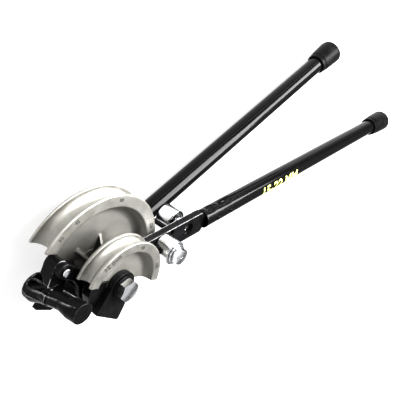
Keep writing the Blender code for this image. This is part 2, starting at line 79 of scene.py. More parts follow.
def rounded(points, radius, steps=5):
    """A closed outline with its corners rounded; a point may carry its own radius as a third number."""
    out = []
    count = len(points)
    for i, point in enumerate(points):
        here = Vector(point[:2])
        before = Vector(points[i - 1][:2]) - here
        after = Vector(points[(i + 1) % count][:2]) - here
        size = point[2] if len(point) > 2 else radius
        angle = before.angle(after, math.pi)
        if size <= 0 or angle > math.radians(172):
            out.append(tuple(here))
            continue
        reach = min(size / math.tan(angle / 2), before.length * 0.49, after.length * 0.49)
        start = here + before.normalized() * reach
        end = here + after.normalized() * reach
        for k in range(steps + 1):
            t = k / steps
            out.append(tuple(start * (1 - t) ** 2 + here * 2 * t * (1 - t) + end * t ** 2))
    return out


def turned(name, profile, steps=96, centre=(0.0, 0.0), closed=True):
    """A profile of (radius, z) turned about a vertical axis. An open one starts and ends on the axis."""
    bm = bmesh.new()
    rings = []
    for i in range(steps):
        angle = 2 * math.pi * i / steps
        turn = (math.cos(angle), math.sin(angle))
        rings.append([bm.verts.new((centre[0] + r * turn[0], centre[1] + r * turn[1], z))
                      for r, z in profile])
    count = len(profile)
    for i in range(steps):
        here, there = rings[i], rings[(i + 1) % steps]
        for j in range(count if closed else count - 1):
            k = (j + 1) % count
            bm.faces.new((here[j], there[j], there[k], here[k]))
    return mesh_object(name, bm)


def extruded(name, outline, z0, z1):
    bm = bmesh.new()
    face = bm.faces.new([bm.verts.new((x, y, z0)) for x, y in outline])
    result = bmesh.ops.extrude_face_region(bm, geom=[face])
    moved = [item for item in result["geom"] if isinstance(item, bmesh.types.BMVert)]
    bmesh.ops.translate(bm, vec=(0, 0, z1 - z0), verts=moved)
    return mesh_object(name, bm)


def block(name, x0, x1, y0, y1, z0, z1):
    return extruded(name, [(x0, y0), (x1, y0), (x1, y1), (x0, y1)], z0, z1)


def turn_z(obj, angle, x=0.0, y=0.0, z=0.0):
    """Turn the mesh about +Z, then move it, in millimetres."""
    move = Matrix.Translation((x * MM, y * MM, z * MM))
    obj.data.transform(move @ Matrix.Rotation(math.radians(angle), 4, "Z"))
    return obj


def on_handle(obj, angle, offset, z):
    """Set a piece made along +X onto a handle's axis."""
    turn = Matrix.Rotation(math.radians(angle), 4, "Z")
    start = turn @ Vector((0, offset * MM, z * MM))
    obj.data.transform(Matrix.Translation(start) @ turn)
    return obj


def lie_along_x(obj):
    obj.data.transform(Matrix.Rotation(math.radians(90.0), 4, "Y"))
    return obj


def apply_modifiers(obj):
    bpy.context.view_layer.update()
    evaluated = obj.evaluated_get(bpy.context.evaluated_depsgraph_get())
    mesh = bpy.data.meshes.new_from_object(evaluated)
    obj.modifiers.clear()
    obj.data = mesh
    return obj


def combine(target, operation, *tools):
    for tool in tools:
        modifier = target.modifiers.new(operation.lower(), "BOOLEAN")
        modifier.operation = operation
        modifier.solver = "EXACT"
        modifier.object = tool
        apply_modifiers(target)
        bpy.data.objects.remove(tool, do_unlink=True)
    return target


def cut(target, *tools):
    return combine(target, "DIFFERENCE", *tools)


def join(target, *tools):
    return combine(target, "UNION", *tools)


def bevelled(obj, width, segments=3, angle=40.0):
    obj.data.shade_smooth()
    modifier = obj.modifiers.new("bevel", "BEVEL")
    modifier.width = width * MM
    modifier.segments = segments
    modifier.limit_method = "ANGLE"
    modifier.angle_limit = math.radians(angle)
    modifier.harden_normals = True
    return obj


def cast(obj, voxel, rounds):
    """Remesh a sharp block-out and relax it, so that its corners become cast fillets."""
    remesh = obj.modifiers.new("remesh", "REMESH")
    remesh.mode = "VOXEL"
    remesh.voxel_size = voxel * MM
    relax = obj.modifiers.new("relax", "SMOOTH")
    relax.factor = 0.5
    relax.iterations = rounds
    apply_modifiers(obj)
    obj.data.shade_smooth()
    return obj


def along_lever(distance, side=0.0):
    angle = math.radians(LEVER_ANGLE)
    return (distance * math.cos(angle) - side * math.sin(angle),
            distance * math.sin(angle) + side * math.cos(angle))


# ---- material helpers ----
class Surface:
    """A small builder of procedural materials. Coordinates are the object's own, in metres."""

    def __init__(self, name, roughness=0.4, metallic=0.0, **fixed):
        self.material = bpy.data.materials.new(name)
        self.material.use_nodes = True
        self.tree = self.material.node_tree
        self.shader = self.tree.nodes["Principled BSDF"]
        self.shader.inputs["Metallic"].default_value = metallic
        self.shader.inputs["Roughness"].default_value = roughness
        for socket, value in fixed.items():
            self.shader.inputs[socket.replace("_", " ")].default_value = value
        self.place = self.node("ShaderNodeTexCoord").outputs["Object"]

    def node(self, kind, **settings):
        made = self.tree.nodes.new(kind)
        for key, value in settings.items():
            setattr(made, key, value)
        return made

    def link(self, source, target):
        self.tree.links.new(source, target)

    def feed(self, target, value):
        if hasattr(value, "is_output"):
            self.link(value, target)
        else:
            target.default_value = value

    def noise(self, scale, detail=3.0, stretch=None):
        place = self.place
        if stretch:
            mapping = self.node("ShaderNodeMapping")
            mapping.inputs["Scale"].default_value = stretch
            self.link(place, mapping.inputs["Vector"])
            place = mapping.outputs["Vector"]
        made = self.node("ShaderNodeTexNoise")
        self.link(place, made.inputs["Vector"])
        made.inputs["Scale"].default_value = scale
        made.inputs["Detail"].default_value = detail
        made.inputs["Roughness"].default_value = 0.6
        return made.outputs["Fac"]

    def cells(self, scale):
        made = self.node("ShaderNodeTexVoronoi")
        self.link(self.place, made.inputs["Vector"])
        made.inputs["Scale"].default_value = scale
        return made.outputs["Distance"]

    def ramp(self, value, *stops):
        made = self.node("ShaderNodeValToRGB")
        self.link(value, made.inputs["Fac"])
        band = made.color_ramp
        while len(band.elements) < len(stops):
            band.elements.new(0.5)
        for element, (at, colour) in zip(band.elements, stops):
            element.position = at
            element.color = (*colour, 1.0)
        return made.outputs["Color"]

    def mix(self, factor, first, second):
        made = self.node("ShaderNodeMix", data_type="RGBA")
        self.feed(made.inputs["Factor"], factor)
        self.feed(made.inputs[6], first if hasattr(first, "is_output") else (*first, 1.0))
        self.feed(made.inputs[7], second if hasattr(second, "is_output") else (*second, 1.0))
        return made.outputs[2]

    def maths(self, operation, first, second=0.0):
        made = self.node("ShaderNodeMath", operation=operation)
        self.feed(made.inputs[0], first)
        self.feed(made.inputs[1], second)
        return made.outputs["Value"]

    def span(self, value, low, high, to_low, to_high):
        made = self.node("ShaderNodeMapRange")
        self.feed(made.inputs["Value"], value)
        limits = {"From Min": low, "From Max": high, "To Min": to_low, "To Max": to_high}
        for socket, number in limits.items():
            made.inputs[socket].default_value = number
        return made.outputs["Result"]

    def edges(self, low, high):
        """0 on flat ground, 1 on a sharp convex edge."""
        made = self.node("ShaderNodeNewGeometry")
        return self.span(made.outputs["Pointiness"], low, high, 0.0, 1.0)

    def bump(self, height, strength, distance, under=None):
        made = self.node("ShaderNodeBump")
        made.inputs["Strength"].default_value = strength
        made.inputs["Distance"].default_value = distance
        self.link(height, made.inputs["Height"])
        if under is not None:
            self.link(under, made.inputs["Normal"])
        return made.outputs["Normal"]

    def done(self, colour, roughness=None, normal=None):
        self.feed(self.shader.inputs["Base Color"], colour)
        if roughness is not None:
            self.feed(self.shader.inputs["Roughness"], roughness)
        if normal is not None:
            self.feed(self.shader.inputs["Normal"], normal)
        return self.material


# ---- materials ----
def cast_aluminium(name, rim, web_z, tint=(0.38, 0.372, 0.346)):
    """Machined rims outside the rim radius; the web darker, partly as sand-cast skin and partly as painted
    shade near its floor and round the hub. Sizes in millimetres.
    """
    s = Surface(name, metallic=1.0)
    split = s.node("ShaderNodeSeparateXYZ")
    s.link(s.place, split.inputs["Vector"])
    radius = s.maths("POWER", s.maths("ADD", s.maths("POWER", split.outputs["X"], 2.0),
                                      s.maths("POWER", split.outputs["Y"], 2.0)), 0.5)
    inside = s.span(radius, rim * MM, (rim - 5.0) * MM, 0.0, 1.0)
    low = s.span(split.outputs["Z"], (web_z + 7.0) * MM, (web_z + 1.5) * MM, 0.0, 1.0)
    hub = s.span(radius, 22.0 * MM, 19.0 * MM, 0.0, 1.0)
    facing = s.node("ShaderNodeSeparateXYZ")
    s.link(s.node("ShaderNodeNewGeometry").outputs["Normal"], facing.inputs["Vector"])
    upright = s.span(s.maths("ABSOLUTE", facing.outputs["Z"]), 0.8, 0.4, 0.0, 1.0)
    painted_fin_shade = s.maths("MULTIPLY", upright, s.span(radius, 42.0 * MM, 40.0 * MM, 0.0, 1.0))
    blotch = s.noise(70.0, 4.0)
    grain = s.noise(1500.0, 3.0)
    pits = s.cells(1100.0)
    dark = tuple(0.88 * c for c in tint)
    colour = s.ramp(blotch, (0.3, dark), (0.55, tint), (0.75, tuple(min(1.0, 1.06 * c) for c in tint)))
    colour = s.mix(s.span(pits, 0.0, 0.22, 0.3, 0.0), colour, tuple(0.6 * c for c in tint))
    # painted shade: the web darkened near its floor and round the hub, in part standing for sand-cast skin
    shaded = s.maths("MULTIPLY", s.maths("MAXIMUM", s.maths("MULTIPLY", inside, low), hub), 0.35)
    colour = s.mix(shaded, colour, tuple(0.3 * c for c in tint))
    # painted shade: upright faces inside 42 mm radius, the gussets' and hub's sides, made nearly black
    colour = s.mix(s.maths("MULTIPLY", painted_fin_shade, 0.85), colour, tuple(0.08 * c for c in tint))
    colour = s.mix(s.edges(0.53, 0.62), colour, (0.72, 0.71, 0.68))
    rough = s.maths("ADD", s.span(blotch, 0.3, 0.7, 0.42, 0.52), s.span(grain, 0.3, 0.7, -0.05, 0.08))
    rough = s.maths("ADD", rough, s.maths("MULTIPLY", inside, 0.2))
    normal = s.bump(grain, 0.45, 0.0004)
    normal = s.bump(s.noise(420.0, 2.0), 0.3, 0.0005, normal)
    return s.done(colour, rough, normal)


def gloss_black(name, base=(0.003, 0.003, 0.0032), low=0.1, high=0.18):
    s = Surface(name, IOR=1.25)
    cloud = s.noise(28.0, 4.0)
    scuff = s.noise(500.0, 2.0, (0.25, 0.25, 3.0))
    colour = s.mix(s.span(scuff, 0.62, 0.8, 0.0, 0.25), base, (0.02, 0.02, 0.022))
    colour = s.mix(s.edges(0.56, 0.68), colour, (0.22, 0.22, 0.23))
    rough = s.maths("ADD", s.span(cloud, 0.3, 0.7, low, high), s.span(scuff, 0.6, 0.8, 0.0, 0.12))
    normal = s.bump(s.noise(260.0, 2.0), 0.12, 0.0006)
    return s.done(colour, rough, normal)


def forged_black():
    """Black blade paint, with painted highlight lines along the blade's long edges."""
    s = Surface("forged_black", IOR=1.2)
    split = s.node("ShaderNodeSeparateXYZ")
    s.link(s.place, split.inputs["Vector"])
    angle = math.radians(LEVER_ANGLE)
    side = s.maths("ADD", s.maths("MULTIPLY", split.outputs["X"], -math.sin(angle)),
                   s.maths("MULTIPLY", split.outputs["Y"], math.cos(angle)))
    out = s.span(s.maths("ABSOLUTE", side), 14.2 * MM, 14.8 * MM, 0.0, 1.0)
    rise = s.maths("ABSOLUTE", s.maths("SUBTRACT", split.outputs["Z"], LEVER_Z * MM))
    edge = s.maths("MULTIPLY", out, s.span(rise, 4.1 * MM, 4.7 * MM, 0.0, 1.0))
    # painted highlight: bright lines along the blade's top and bottom long edges, broken up by noise
    wear_and_highlight = s.maths("MULTIPLY", edge, s.span(s.noise(160.0, 4.0), 0.35, 0.6, 0.15, 0.8))
    cloud = s.noise(50.0, 4.0)
    colour = s.ramp(cloud, (0.3, (0.003, 0.003, 0.003)), (0.7, (0.011, 0.011, 0.012)))
    colour = s.mix(wear_and_highlight, colour, (0.6, 0.6, 0.61))
    rough = s.span(cloud, 0.3, 0.7, 0.2, 0.34)
    return s.done(colour, rough, s.bump(s.noise(420.0, 3.0), 0.2, 0.0005))


def cast_black(name, low=0.22, high=0.4, height=0.35, ior=1.22, wear_and_highlight=0.07):
    """Painted casting, its convex edges lightened as a painted highlight to the brightness of the last
    argument, less so at the hook's free end.
    """
    s = Surface(name, IOR=ior)
    cloud = s.noise(60.0, 4.0)
    skin = s.noise(520.0, 4.0)
    colour = s.ramp(cloud, (0.3, (0.002, 0.002, 0.002)), (0.7, (0.009, 0.009, 0.0095)))
    position = s.node("ShaderNodeSeparateXYZ")
    s.link(s.place, position.inputs["Vector"])
    # painted highlight on convex edges, broken up by noise and weaker above 95 mm
    painted_edge_highlight = s.maths("MULTIPLY", s.edges(0.515, 0.565), s.span(s.noise(90.0, 2.0), 0.4, 0.6, 0.05, 1.0))
    painted_edge_highlight = s.maths("MULTIPLY", painted_edge_highlight, s.span(position.outputs["Z"], 95.0 * MM, 98.0 * MM, 1.0, 0.12))
    colour = s.mix(painted_edge_highlight, colour, (wear_and_highlight, wear_and_highlight, 1.05 * wear_and_highlight))
    rough = s.maths("ADD", s.span(cloud, 0.3, 0.7, low, high), s.span(skin, 0.35, 0.7, -0.04, 0.08))
    normal = s.bump(skin, height, 0.0006)
    normal = s.bump(s.noise(130.0, 2.0), 0.25, 0.0012, normal)
    return s.done(colour, rough, normal)


def black_vinyl(name="black_vinyl"):
    s = Surface(name, IOR=1.16)
    cloud = s.noise(70.0, 3.0)
    grain = s.noise(2200.0, 2.0)
    colour = s.ramp(cloud, (0.3, (0.003, 0.003, 0.003)), (0.7, (0.011, 0.011, 0.011)))
    rough = s.maths("ADD", s.span(cloud, 0.3, 0.7, 0.26, 0.38), s.span(grain, 0.3, 0.7, -0.04, 0.06))
    return s.done(colour, rough, s.bump(grain, 0.25, 0.0002))


def bright_zinc(name="bright_zinc", low=0.1, high=0.2, tint=(0.76, 0.77, 0.79)):
    s = Surface(name, metallic=1.0)
    cloud = s.noise(160.0, 4.0)
    lines = s.noise(1.0, 2.0, (120.0, 120.0, 5200.0))
    dark = tuple(0.8 * c for c in tint)
    colour = s.ramp(cloud, (0.25, dark), (0.6, tint))
    colour = s.mix(s.span(s.noise(900.0, 2.0), 0.66, 0.8, 0.0, 0.4), colour, (0.45, 0.46, 0.49))
    rough = s.maths("ADD", s.span(cloud, 0.3, 0.7, low, high), s.span(lines, 0.3, 0.7, -0.03, 0.06))
    return s.done(colour, rough, s.bump(lines, 0.18, 0.00012))


def bronze():
    return bright_zinc("bronze", 0.34, 0.48, (0.2, 0.13, 0.06))


def nylon():
    s = Surface("nylon", Subsurface_Weight=0.05)
    cloud = s.noise(200.0, 3.0)
    colour = s.ramp(cloud, (0.3, (0.5, 0.48, 0.4)), (0.7, (0.66, 0.63, 0.55)))
    return s.done(colour, s.span(cloud, 0.3, 0.7, 0.45, 0.6), s.bump(s.noise(1500.0, 2.0), 0.2, 0.0002))


def marking_paint(name, colour):
    s = Surface(name)
    wear_and_highlight = s.noise(900.0, 3.0)
    shade = s.mix(s.span(wear_and_highlight, 0.35, 0.75, 0.0, 0.5), colour, tuple(0.6 * c for c in colour))
    return s.done(shade, s.span(wear_and_highlight, 0.3, 0.7, 0.3, 0.5), s.bump(wear_and_highlight, 0.2, 0.0002))


MATERIALS = {
    "aluminium_big": cast_aluminium("aluminium_large", 78.0, 43.0),
    "aluminium_small": cast_aluminium("aluminium_small", 45.3, 90.0),
    "gloss": gloss_black("gloss_black"),
    "forged": forged_black(),
    "cast": cast_black("cast_black"),
    "hook": cast_black("hook_black", 0.1, 0.2, 0.12, 1.22, 0.7),
    "plate": cast_black("plate_black", 0.36, 0.5, 0.2, 1.2),
    "vinyl": black_vinyl(),
    "zinc": bright_zinc(),
    "bronze": bronze(),
    "nylon": nylon(),
    "yellow": marking_paint("yellow_marking", (0.80, 0.80, 0.22)),
    "ink": marking_paint("dark_marking", (0.11, 0.107, 0.1)),
}


def show(obj, material, body, *nodes):
    """Give a piece its material, let it ride on a body and stand for CAD nodes."""
    obj.data.materials.clear()
    obj.data.materials.append(MATERIALS[material])
    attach(obj, body)
    if nodes:
        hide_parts(*nodes)
    return obj


def copy_of(node, name):
    """A new piece that starts from a CAD node's own shape."""
    obj = bpy.data.objects.new(name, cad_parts[node].data.copy())
    bpy.context.scene.collection.objects.link(obj)
    return obj


def merged(target, *others):
    """Put overlapping closed shapes into one mesh, ready for a voxel remesh."""
    bm = bmesh.new()
    for obj in (target, *others):
        bm.from_mesh(obj.data)
    bm.to_mesh(target.data)
    bm.free()
    for obj in others:
        bpy.data.objects.remove(obj, do_unlink=True)
    return target


def swept(name, path, radius, steps=14):
    """A round bar along a path of points, with domed ends."""
    points = [Vector(p) for p in path]
    bm = bmesh.new()
    rings = []
    count = len(points)
    for i, point in enumerate(points):
        ahead = (points[min(i + 1, count - 1)] - points[max(i - 1, 0)]).normalized()
        side = ahead.cross(Vector((0.13, 0.21, 0.97))).normalized()
        other = ahead.cross(side)
        rings.append([bm.verts.new(point + radius * (side * math.cos(a) + other * math.sin(a)))
                      for a in (2 * math.pi * k / steps for k in range(steps))])
    for low, high in zip(rings, rings[1:]):
        for k in range(steps):
            j = (k + 1) % steps
            bm.faces.new((low[k], low[j], high[j], high[k]))
    for ring_verts, tip, inner in ((rings[0], points[0], points[1]), (rings[-1], points[-1], points[-2])):
        pole = bm.verts.new(tip + (tip - inner).normalized() * radius * 0.6)
        for k in range(steps):
            bm.faces.new((ring_verts[k], ring_verts[(k + 1) % steps], pole))
    return mesh_object(name, bm)


def lettering(name, text, height, depth):
    """Raised generic figures, centred on the origin, facing +Z with +X to the right."""
    curve = bpy.data.curves.new(name, "FONT")
    curve.body = text
    curve.size = height * MM
    curve.extrude = depth * MM / 2
    curve.align_x = "CENTER"
    curve.align_y = "CENTER"
    curve.offset = 0.02 * height * MM
    source = bpy.data.objects.new(name, curve)
    bpy.context.scene.collection.objects.link(source)
    bpy.context.view_layer.update()
    mesh = bpy.data.meshes.new_from_object(source.evaluated_get(bpy.context.evaluated_depsgraph_get()))
    bpy.data.objects.remove(source, do_unlink=True)
    obj = bpy.data.objects.new(name, mesh)
    bpy.context.scene.collection.objects.link(obj)
    return obj


def on_rim(name, text, height, depth, radius, angle, z):
    """Lettering that stands on a former's front face, its foot towards the pivot."""
    obj = lettering(name, text, height, depth)
    a = math.radians(angle)
    move = Matrix.Translation((radius * math.cos(a) * MM, radius * math.sin(a) * MM, (z + 0.25) * MM))
    obj.data.transform(move @ Matrix.Rotation(a - math.pi / 2, 4, "Z"))
    return obj


# ---- formers ----
BIG = {"r_out": 93.5, "r_in": 78.0, "r_web": 64.5, "r_back": 76.0, "groove_r": 11.2, "r_tube": 91.0,
       "z": (28.0, 57.0), "web": (35.3, 43.0), "hub_top": 57.0}
SMALL = {"r_out": 57.3, "r_in": 45.3, "r_web": 37.0, "r_back": 43.0, "groove_r": 7.7, "r_tube": 55.5,
         "z": (77.0, 101.0), "web": (84.0, 90.0), "hub_top": 90.0}


def former_block(name, size):
    z0, z1 = size["z"]
    web0, web1 = size["web"]
    middle = (z0 + z1) / 2
    groove = [(r, z, 0) for z, r in arc(middle, size["r_tube"], size["groove_r"], 180, 360, 28)]
    groove[0] = (*groove[0][:2], 0.8)
    groove[-1] = (*groove[-1][:2], 0.8)
    outline = [(size["r_out"], z0, 1.2), (size["r_out"], middle - size["groove_r"] - 0.1, 0.8), *groove]
    outline += [(size["r_out"], middle + size["groove_r"] + 0.1, 0.8), (size["r_out"], z1, 1.2)]
    outline.append((size["r_in"], z1, 1.0))
    depth = z1 - web1
    width = size["r_in"] - size["r_web"]
    for i in range(1, 13):
        a = math.radians(90 * i / 12)
        outline.append((size["r_in"] - width * (1 - math.cos(a)), z1 - depth * math.sin(a), 0))
    outline += [(14, web1, 0), (14, web0, 0), (size["r_back"] - 8, web0, 5), (size["r_back"], z0, 1.0)]
    former = turned(name, rounded(outline, 0, 4), 240)
    wide = size["r_out"] + 10
    cut(former, block("flat", -wide, wide, -wide, FLAT_Y, z0 - 5, z1 + 5))
    return former


def gusset(angle):
    """A cast web between the large former's hub and its plate, thicker at its foot."""
    bm = bmesh.new()
    low, high = 41.5, 56.0
    foot = [bm.verts.new((x, y, low)) for x, y in ((15, -3.0), (39, -2.4), (39, 2.4), (15, 3.0))]
    top = [bm.verts.new((x, y, high)) for x, y in ((15, -1.7), (21, -1.7), (21, 1.7), (15, 1.7))]
    bm.faces.new(foot)
    bm.faces.new(top)
    for i in range(4):
        k = (i + 1) % 4
        bm.faces.new((foot[i], foot[k], top[k], top[i]))
    return turn_z(mesh_object("gusset", bm), angle)


def build_formers():
    big = former_block("large_former", BIG)
    cut(big, block("hook_room", -110, -BIG["r_web"] + 1.0, -5, 23.0, 27, 58))
    merged(big, extruded("hub", arc(0, 0, HUB_RADIUS, 0, 360, 64)[:-1], BIG["web"][0], BIG["hub_top"]),
           *[gusset(angle) for angle in (35, 92, 150)])
    cut_bore(cast(big, 0.75, 3), PIVOT_HOLE, 20, 70)
    show(big, "aluminium_big", "frame", "former_22")
    small = former_block("small_former", SMALL)
    merged(small, extruded("hub", arc(0, 0, HUB_RADIUS, 0, 360, 64)[:-1], SMALL["z"][0], SMALL["hub_top"]))
    cut_bore(cast(small, 0.6, 3), PIVOT_HOLE, 70, 105)
    show(small, "aluminium_small", "frame", "former_15")
    for degrees, angle in ((180, 9), (135, 38), (90, 94), (45, 136), (30, 152)):
        mark = on_rim(f"large_former_mark_{degrees}", f"{degrees}", 6.5, 0.6, 86.5, angle, BIG["z"][1])
        show(mark, "ink", "frame")
    for degrees, angle in ((135, 30), (90, 87)):
        mark = on_rim(f"small_former_mark_{degrees}", f"{degrees}", 6.0, 0.6, 50.8, angle, SMALL["z"][1])
        show(mark, "ink", "frame")
    size_mark = on_rim("small_former_size_mark", "15 mm", 9.0, 0.6, 51.3, 138, SMALL["z"][1])
    show(size_mark, "ink", "frame")


def cut_bore(obj, radius, z0, z1):
    return cut(obj, extruded("bore", arc(0, 0, radius, 0, 360, 48)[:-1], z0, z1))


# ---- frame and hook ----
def build_frame():
    rear = cast(copy_of("frame_rear_leg", "rear_leg_casting"), 0.9, 5)
    show(rear, "cast", "frame", "frame_rear_leg")
    outline = arc(0, 0, 18, -8, 188, 40)
    corners = rounded([outline[-1], (-27, -34, 3), (16, -46, 3), (18, -26, 4), outline[0]], 0, 6)
    front = extruded("front_leg_plate", outline[1:-1] + corners, 90.3, 98.0)
    cut_bore(front, PIVOT_HOLE, 85, 105)
    show(bevelled(front, 0.9), "plate", "frame", "frame_front_leg")


def hook_point(angle, z, lift):
    """A point on the hook's barrel at an angle about its centre line, lifted off the surface."""
    sections = ((-59.0, -32.0, 16.5, 28.5), (-59.0, -31.5, 17.0, 38.0), (-58.5, -28.0, 15.0, 50.0),
                (-58.0, -26.0, 13.5, 62.0), (-57.0, -24.5, 12.0, 76.0), (-55.5, -25.5, 13.2, 88.0),
                (-54.0, -25.0, 13.0, 101.0))
    for low, high in zip(sections, sections[1:]):
        if z <= high[3]:
            break
    t = (z - low[3]) / (high[3] - low[3])
    x, y, r = (low[i] + (high[i] - low[i]) * t for i in range(3))
    a = math.radians(angle)
    return (x + (r + lift) * math.cos(a), y + (r + lift) * math.sin(a), z)


def hook_line(points, lift, steps=10):
    """A smooth run over the hook's surface through (angle, z) points."""
    path = []
    for (a0, z0), (a1, z1) in zip(points, points[1:]):
        for i in range(steps):
            t = i / steps
            path.append(hook_point(a0 + (a1 - a0) * t, z0 + (z1 - z0) * t, lift))
    path.append(hook_point(*points[-1], lift))
    return path


def build_hook():
    hook = copy_of("tube_hook", "tube_hook_casting")
    cut(hook, swept("pocket", hook_line([(150, 40), (153, 60)], 2.2), 5.6))
    rim = [(140, 63), (134, 50), (130, 38), (140, 33), (155, 32),
           (167, 36), (174, 45), (175, 62), (164, 80), (148, 97)]
    merged(hook,
           swept("rim", hook_line(rim, 0.2), 1.5),
           swept("ledge", hook_line([(-168, 31), (-152, 47), (-146, 62), (-150, 74)], -0.2), 1.3),
           swept("brow", hook_line([(112, 72), (104, 86), (80, 99)], 0.0), 1.4))
    cast(hook, 0.7, 3)
    show(hook, "hook", "hook", "tube_hook")


# ---- handles ----
def crimp(along, around):
    """How far the lever tube is pressed in, in millimetres, at a place along and round it."""
    dent = 0.0
    for start, end in ((178.0, 190.0), (200.0, 228.0)):
        if start < along < end:
            shape = math.sin(math.pi * (along - start) / (end - start)) ** 0.5
            dent = max(dent, 1.6 * shape * max(0.0, math.cos(2 * around)) ** 2)
    return dent


def handle_tube(name, span, where, pressed=False):
    """The tube's wall as one skin: outside, a rounded mouth, and the bore."""
    steps, radius, bore = 64, TUBE_RADIUS, TUBE_BORE
    start, end = span
    rows = [(end, bore), (start + 0.5, bore), (start, bore + 0.5),
            (start, radius - 0.5), (start + 0.5, radius)]
    length = 2.0 if pressed else 12.0
    at = start + 2.0
    while at < end - 2:
        rows.append((at, radius))
        at += length if at < 235 else 12.0
    rows.append((end, radius))
    bm = bmesh.new()
    rings = []
    for along, r in rows:
        ring_verts = []
        for k in range(steps):
            a = 2 * math.pi * k / steps
            size = r - (crimp(along, a) if pressed and r > bore + 0.6 else 0.0)
            ring_verts.append(bm.verts.new((along, size * math.cos(a), size * math.sin(a))))
        rings.append(ring_verts)
    rings.append(rings[0])
    for low, high in zip(rings, rings[1:]):
        for k in range(steps):
            j = (k + 1) % steps
            bm.faces.new((low[k], low[j], high[j], high[k]))
    return on_handle(mesh_object(name, bm), *where)


def handle_cap(name, tube_end, length, where):
    """A moulded cap that flares from a thin lip to its round end."""
    end = tube_end + 5.3
    mouth = end - length
    outline = [(12.8, tube_end + 0.3, 0), (12.8, mouth, 0.8), (15.4, mouth, 1.0), (15.8, mouth + 6.4, 0.8),
               (15.4, mouth + 7.0, 0.2), (16.3, mouth + 7.8, 0.6), (17.1, mouth + 16, 0),
               (17.6, mouth + 26, 0), (18.2, end - 7, 3), (18.2, end, 4.5)]
    profile = rounded([(0.001, tube_end + 0.3, 0)] + outline + [(0.001, end, 0)], 0, 6)
    cap = on_handle(lie_along_x(turned(name, profile, 72, closed=False)), *where)
    for vert in cap.data.vertices:
        vert.co.z = max(vert.co.z, 0.0)
    return cap


def wrap_text(name, text, height, length, along, around, where):
    """Flat lettering laid round a handle's skin, with around measured from the handle's left to its top."""
    radius = (TUBE_RADIUS + 0.08) * MM
    obj = lettering(name, text, height, 0.0)
    obj.data.transform(Matrix.Scale(length * MM / obj.dimensions.x, 4, (1, 0, 0)))
    bm = bmesh.new()
    bm.from_mesh(obj.data)
    bmesh.ops.triangulate(bm, faces=bm.faces)
    for _ in range(3):
        long = [edge for edge in bm.edges if edge.calc_length() > 1.6 * MM]
        bmesh.ops.subdivide_edges(bm, edges=long, cuts=1)
        bmesh.ops.triangulate(bm, faces=bm.faces)
    for vert in bm.verts:
        a = math.radians(around) - vert.co.y / radius
        vert.co = Vector((along * MM + vert.co.x, radius * math.cos(a), radius * math.sin(a)))
    bm.to_mesh(obj.data)
    bm.free()
    obj.data.shade_smooth()
    return on_handle(obj, *where)


LEVER_AXIS = (LEVER_ANGLE, 0.0, LEVER_Z)
FIXED_AXIS = (FIXED_ANGLE, FIXED_OFFSET, FIXED_Z)


def build_handles():
    show(handle_tube("lever_tube", LEVER_TUBE, LEVER_AXIS, True), "gloss", "lever", "lever_handle_tube")
    show(handle_cap("lever_cap", LEVER_TUBE[1], 51.0, LEVER_AXIS), "vinyl", "lever", "lever_handle_cap")
    show(handle_tube("fixed_tube", FIXED_TUBE, FIXED_AXIS), "gloss", "frame", "fixed_handle_tube")
    show(handle_cap("fixed_cap", FIXED_TUBE[1], 44.5, FIXED_AXIS), "vinyl", "frame", "fixed_handle_cap")
    marking = wrap_text("lever_size_marking", "15-22 MM", 21.0, 91.0, 343.0, 100.0, LEVER_AXIS)
    show(marking, "yellow", "lever")


# ---- lever blade ----
def build_blade():
    half, hub = BLADE_HALF, 20.0
    touch = math.degrees(math.asin(half / hub))
    outline = arc(0, 0, hub, touch, 360 - touch, 48)
    outline += rounded([(150, -half, 0), (165.5, -half, 4), (170.5, -9, 2), (240, -9, 0), (240, 9, 0),
                        (170.5, 9, 2), (165.5, half, 4), (150, half, 0)], 0, 6)
    blade = extruded("lever_blade_forging", outline, *BLADE_Z)
    for side in (-1, 1):
        groove = block("groove", 24, 160, side * half - 0.55, side * half + 0.55, 66.2, 67.8)
        cut(blade, groove)
    for at, side, radius in ((0, 0, 11.3), (ROLLER_15_AT, 0, 6.3), (ROLLER_22_AT, 0, 9.0),
                             (*GUIDE_PIN_AT, 3.5)):
        cut(blade, extruded("hole", arc(at, side, radius, 0, 360, 48)[:-1], 55, 80))
    bevelled(turn_z(blade, LEVER_ANGLE), 0.8, 3, 50.0)
    show(blade, "forged", "lever", "lever_blade")


# ---- turned and hexagonal hardware ----
def ring_piece(name, r_in, r_out, z0, z1, centre=(0.0, 0.0), edge=0.5, steps=72):
    outline = [(r_out, z0, edge), (r_out, z1, edge), (r_in, z1, edge / 2), (r_in, z0, edge / 2)]
    return turned(name, rounded(outline, 0, 3), steps, centre)


def hex_block(name, across, z0, z1, centre, turn, bore=0.0):
    """A hexagon with turned corners on both ends."""
    corner = across / math.sqrt(3.0)
    slope = (corner - across / 2) * 0.5
    body = extruded(name, arc(*centre, corner, turn, turn + 360, 6)[:-1], z0, z1)
    cone = [(0.001, z0), (across / 2 - 0.3, z0), (corner + 0.2, z0 + slope), (corner + 0.2, z1 - slope),
            (across / 2 - 0.3, z1), (0.001, z1)]
    combine(body, "INTERSECT", turned("cone", cone, 96, centre, closed=False))
    if bore:
        cut(body, extruded("bore", arc(*centre, bore, 0, 360, 48)[:-1], z0 - 1, z1 + 1))
    return body


